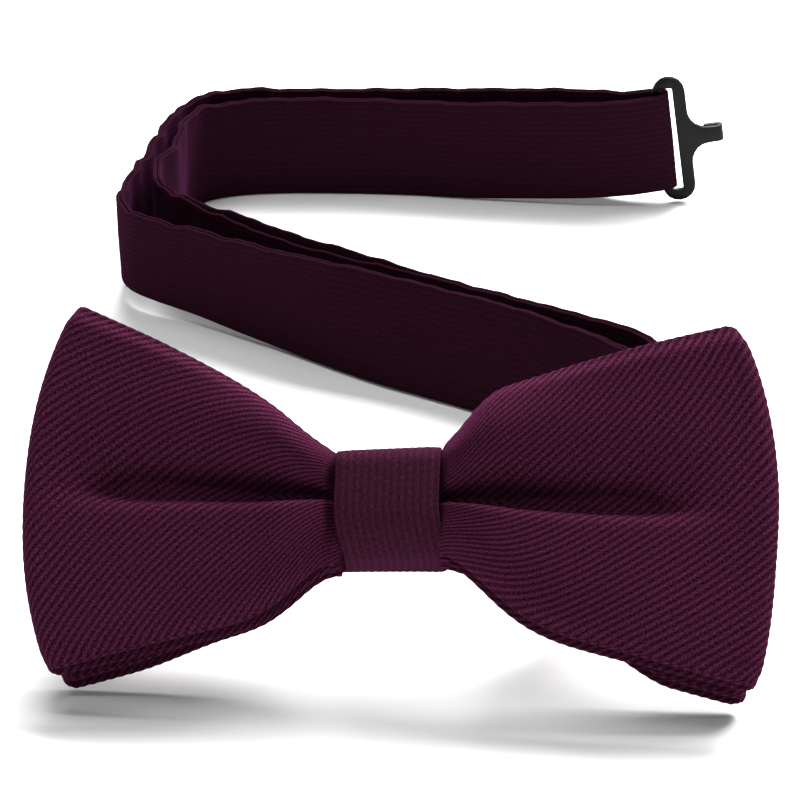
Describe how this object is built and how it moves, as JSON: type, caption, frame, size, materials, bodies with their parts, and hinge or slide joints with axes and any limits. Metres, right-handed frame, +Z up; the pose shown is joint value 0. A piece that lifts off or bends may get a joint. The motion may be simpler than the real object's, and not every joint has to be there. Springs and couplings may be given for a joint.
{
  "type": "bow tie",
  "caption": "Pre-tied double-loop bow tie in ribbed satin with a wrapped knot, an adjustable neck band doubled through a slider, and a flat metal hook and eye.",
  "frame": {"origin": "centre of the bounding box's base, on the surface that the bow tie lies on", "axes": "+X to the right of the bow as seen from its front, +Y from the bow's front towards the far run of the neck band, +Z up"},
  "size_m": [0.125, 0.2148, 0.0525],
  "materials": {
    "satin": "ribbed satin, deep plum",
    "interlining": "stiff non-woven lining",
    "thread": "plum sewing thread",
    "black_metal": "black lacquered steel"
  },
  "bodies": {
    "bow_and_band": {"front_bow_shell": "satin", "front_bow_interlining": "interlining", "rear_bow_shell": "satin", "rear_bow_interlining": "interlining", "knot_wrap": "satin", "knot_interlining": "interlining", "knot_seam_stitch": "thread", "waist_binding_thread": "thread", "neck_band": "satin"},
    "slider": {"slider": "black_metal", "slider_tab": "satin", "slider_tab_stitch": "thread"},
    "short_strap": {"short_strap": "satin", "short_strap_stitch": "thread"},
    "hook": {"hook": "black_metal"},
    "eye": {"eye": "black_metal"}
  },
  "joints": [
    {"name": "hook_swing", "type": "hinge", "parent": "bow_and_band", "child": "hook", "pos_m": [0.04985, 0.0975, 0.01328], "axis": [-0.1392, 0, 0.9903], "range_deg": [-65, 65]},
    {"name": "slider_adjust", "type": "slide", "parent": "bow_and_band", "child": "slider", "axis": [0.2559, 0.9667, 0], "range_m": [-0.006, 0.005]},
    {"name": "short_strap_swing", "type": "hinge", "parent": "bow_and_band", "child": "short_strap", "pos_m": [-0.01315, -0.07455, 0.02203], "axis": [-0.046, -0.6931, -0.7193], "range_deg": [0, 70]},
    {"name": "eye_swing", "type": "hinge", "parent": "short_strap", "child": "eye", "pos_m": [-0.05086, -0.06894, 0.01904], "axis": [0.046, 0.6931, 0.7193], "range_deg": [-55, 18]}
  ]
}
